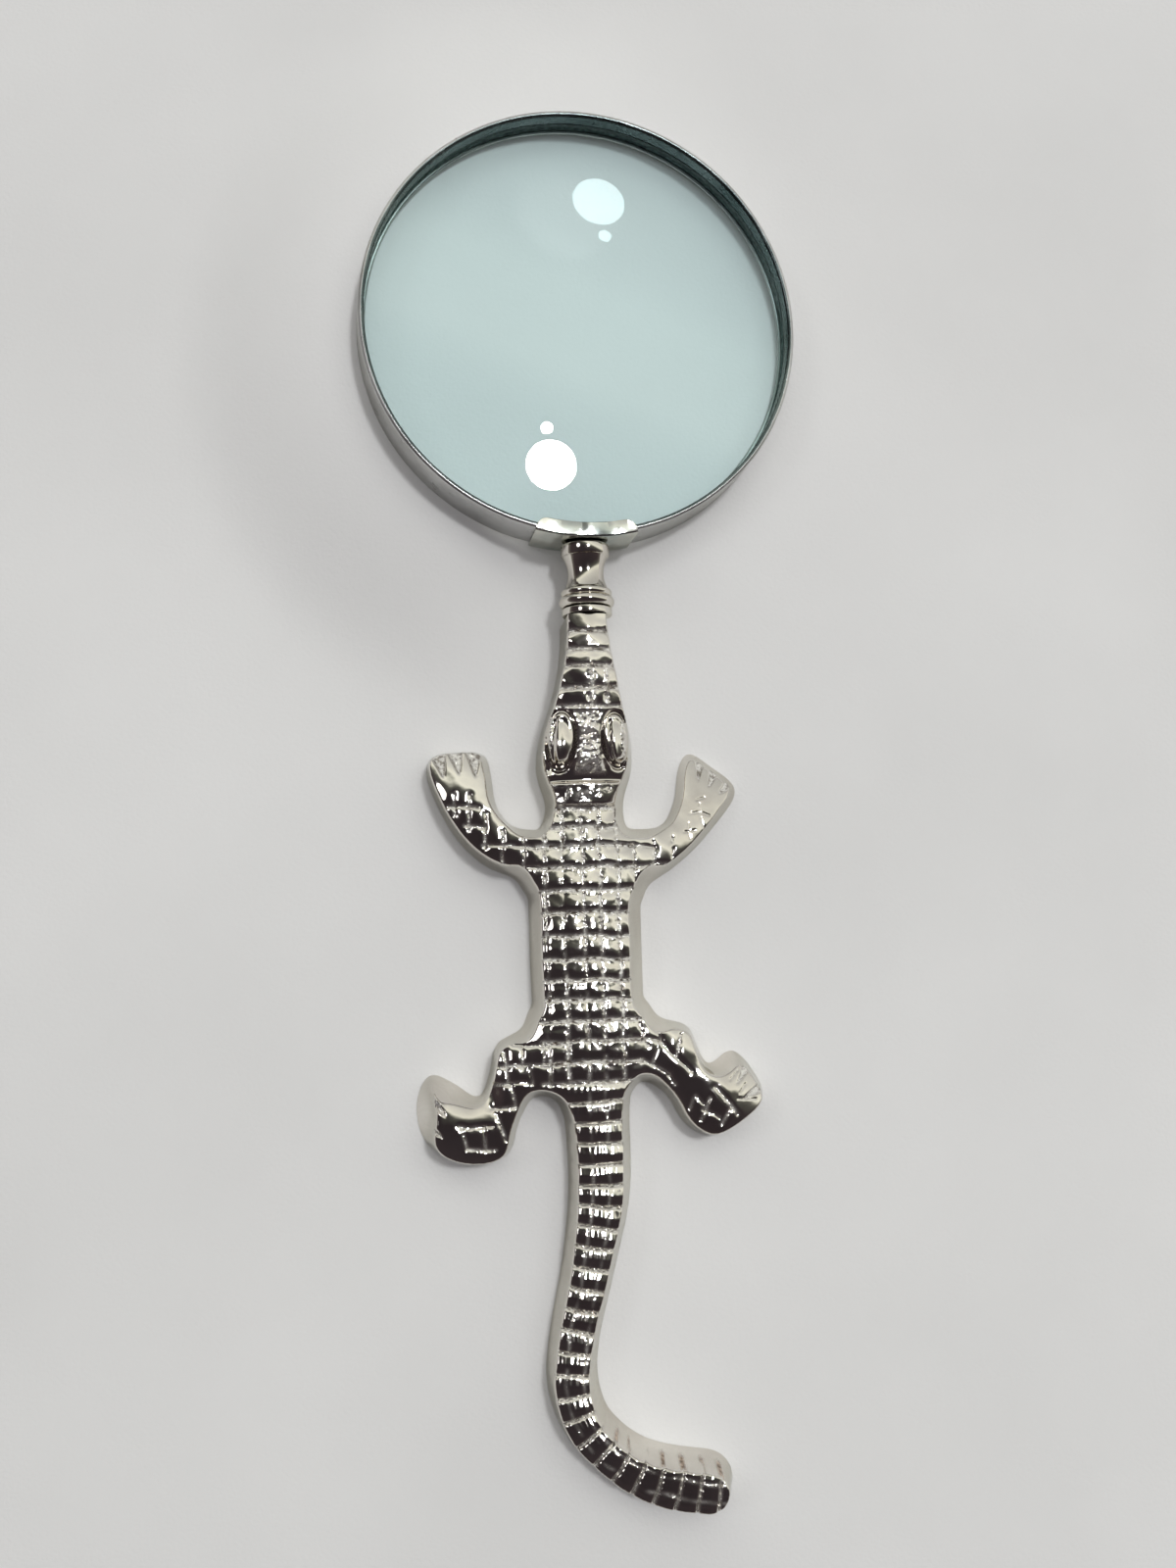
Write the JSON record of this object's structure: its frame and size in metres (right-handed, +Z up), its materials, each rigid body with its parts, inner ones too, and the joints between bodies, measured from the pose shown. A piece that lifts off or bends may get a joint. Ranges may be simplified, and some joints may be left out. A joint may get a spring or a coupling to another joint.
{
  "type": "magnifying glass",
  "caption": "Hand magnifier: a large round lens in a sheet-metal rim, screwed by a turned neck into a flat-backed metal handle cast in the shape of a crocodile.",
  "frame": {"origin": "on the handle's flat cast back, under the middle of the crocodile's body", "axes": "+Y along the neck towards the lens, +Z up out of the flat back, +X to the right seen from above"},
  "size_m": [0.1037, 0.3223, 0.0231],
  "materials": {
    "lens_glass": "polished clear glass, faintly green, ground edge",
    "rim_nickel": "satin nickel plate on sheet metal, lightly worn",
    "ring_steel": "drawn spring wire",
    "clip_nickel": "hammered sheet with polished nickel plate",
    "stud_steel": "plain machined thread",
    "neck_nickel": "turned and polished nickel plate",
    "cast_nickel": "polished nickel plate on a casting, granular in the grooves"
  },
  "bodies": {
    "handle": {"crocodile_handle": "cast_nickel"},
    "neck": {"neck_ferrule": "neck_nickel", "collar_ring": "neck_nickel"},
    "lens_head": {"lens": "lens_glass", "rim_band": "rim_nickel", "lens_retaining_ring": "ring_steel", "saddle_clip": "clip_nickel", "threaded_stud": "stud_steel"}
  },
  "joints": [
    {"name": "neck_travel", "type": "slide", "parent": "handle", "child": "neck", "axis": [0, 1, 0], "range_m": [0, 0.008]},
    {"name": "head_turn", "type": "hinge", "parent": "neck", "child": "lens_head", "pos_m": [0, 0.09, 0.0117], "axis": [0, 1, 0], "range_deg": [0, 3600]}
  ],
  "couplings": [
    {"joint": "neck_travel", "follows": "head_turn", "m_per_rad": 0.0001273}
  ]
}
